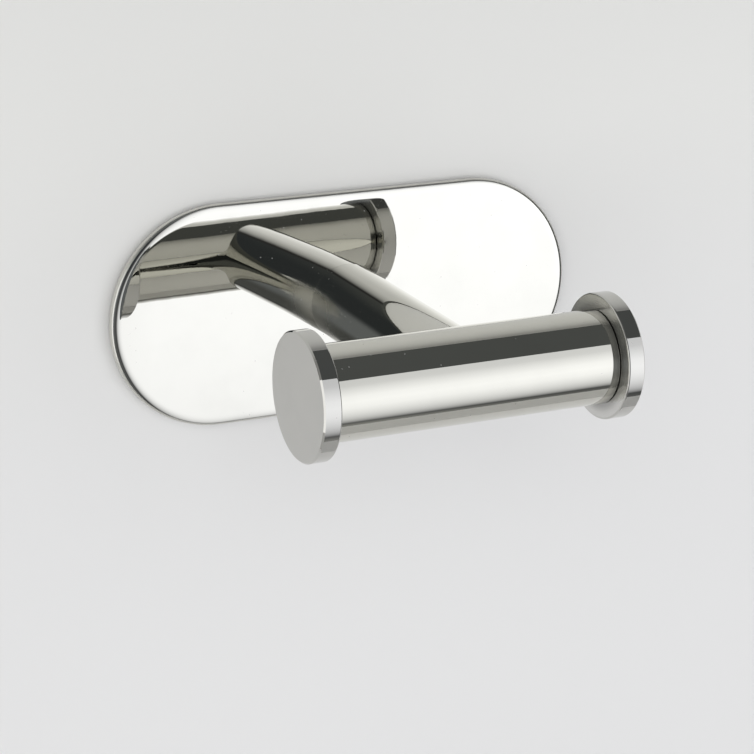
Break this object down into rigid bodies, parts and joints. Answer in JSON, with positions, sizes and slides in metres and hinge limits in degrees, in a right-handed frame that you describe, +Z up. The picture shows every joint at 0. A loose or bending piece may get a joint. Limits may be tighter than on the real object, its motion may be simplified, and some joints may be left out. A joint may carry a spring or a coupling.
{
  "type": "double wall hook",
  "caption": "Polished double wall hook: round-ended plate, round stem and a cross bar with disc ends that hold a towel on either side.",
  "frame": {"origin": "centre of the adhesive pad's back face, on the wall plane", "axes": "+X along the bar to the right, +Y into the wall, +Z up; the hook reaches out towards -Y"},
  "size_m": [0.089, 0.0582, 0.0406],
  "materials": {
    "back_plate": "mirror-polished stainless steel",
    "stem": "mirror-polished stainless steel",
    "bar_tube": "mirror-polished stainless steel",
    "end_caps": "mirror-polished stainless steel",
    "adhesive_foam": "matt closed-cell adhesive foam",
    "bolt_steel": "plain stainless bolt",
    "insert_steel": "turned, unpolished"
  },
  "bodies": {
    "root": {"back_plate": "back_plate", "adhesive_pad": "adhesive_foam", "stem": "stem", "clamp_bolt": "bolt_steel", "bar_insert": "insert_steel", "bar_tube": "bar_tube", "end_cap_left": "end_caps", "end_cap_right": "end_caps"}
  },
  "joints": []
}
